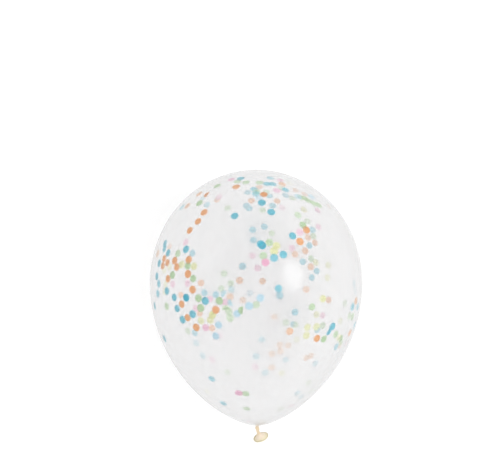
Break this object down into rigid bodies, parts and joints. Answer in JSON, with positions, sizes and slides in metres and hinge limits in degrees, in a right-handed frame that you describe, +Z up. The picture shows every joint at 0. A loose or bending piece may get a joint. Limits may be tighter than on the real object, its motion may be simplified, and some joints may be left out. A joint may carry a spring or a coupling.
{
  "type": "confetti balloon",
  "caption": "Clear round latex party balloon, blown up and knotted, with tissue confetti discs sealed inside; lies on its side on a small flat spot.",
  "frame": {"origin": "on the floor, under the middle of the bounding box, with the balloon lying on its side", "axes": "+Y along the balloon's axis, from the knotted neck to the crown; +Z up; X across"},
  "size_m": [0.28, 0.3597, 0.277],
  "materials": {
    "clear_latex": "clear, glossy stretched latex, ivory where it is unstretched at the neck and lip",
    "tissue_teal": "matt tissue paper, see-through enough to deepen where discs overlap",
    "tissue_blue": "matt tissue paper",
    "tissue_orange": "matt tissue paper",
    "tissue_green": "matt tissue paper",
    "tissue_yellow": "matt tissue paper",
    "tissue_pink": "matt tissue paper"
  },
  "bodies": {
    "root": {"balloon": "clear_latex"}
  },
  "joints": []
}
